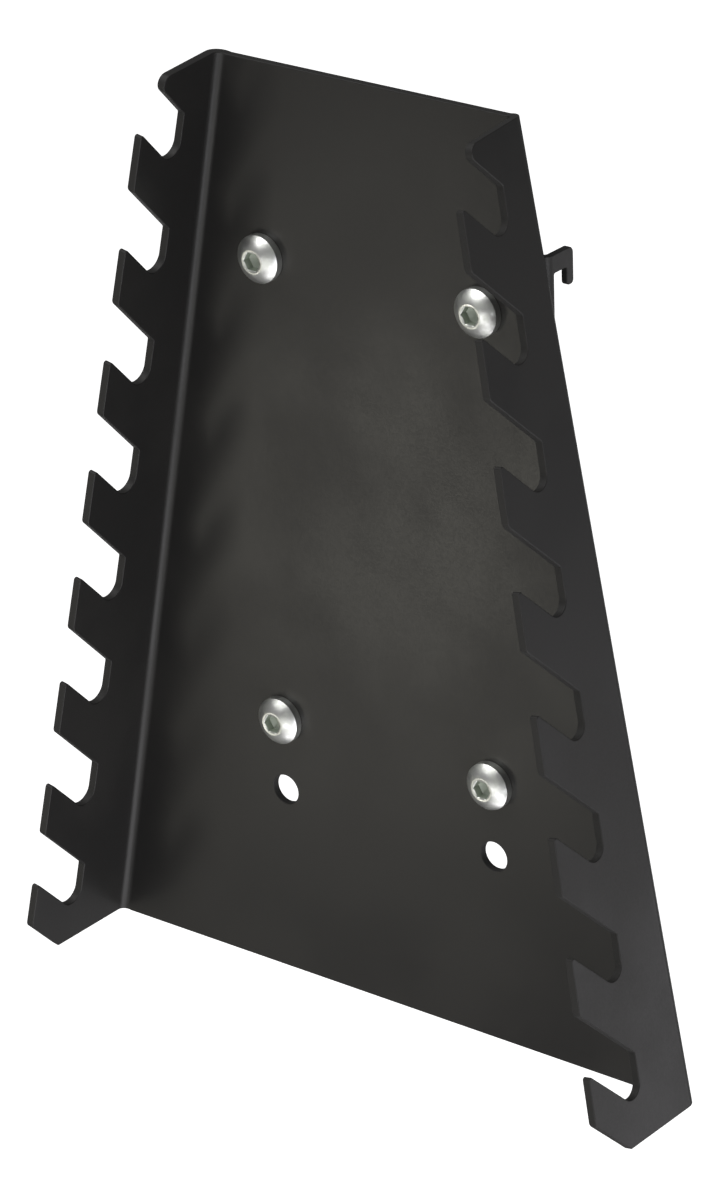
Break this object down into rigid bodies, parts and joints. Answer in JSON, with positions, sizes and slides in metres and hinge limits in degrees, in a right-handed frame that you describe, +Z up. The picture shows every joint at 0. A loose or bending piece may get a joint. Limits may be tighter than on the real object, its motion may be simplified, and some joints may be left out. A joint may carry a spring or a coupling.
{
  "type": "clamp rack",
  "caption": "Tapered wall rack folded from one black sheet, with slanted notches down both flanges and hooks behind for a perforated panel.",
  "frame": {"origin": "midway between the two upper hooks, where the underside of the hook arms meets the front of the turned-down tips", "axes": "X to the right seen from the front, +Y to the wall, +Z up"},
  "size_m": [0.211, 0.0579, 0.281],
  "materials": {
    "rack_coat": "satin black powder coat",
    "bracket_coat": "satin black powder coat",
    "zinc": "bright zinc plate"
  },
  "bodies": {
    "root": {"rack_sheet": "rack_coat", "upper_hook_bracket": "bracket_coat", "lower_hook_bracket": "bracket_coat", "upper_left_screw": "zinc", "upper_left_washer": "zinc", "upper_left_nut": "zinc", "upper_right_screw": "zinc", "upper_right_washer": "zinc", "upper_right_nut": "zinc", "lower_left_screw": "zinc", "lower_left_washer": "zinc", "lower_left_nut": "zinc", "lower_right_screw": "zinc", "lower_right_washer": "zinc", "lower_right_nut": "zinc"}
  },
  "joints": []
}
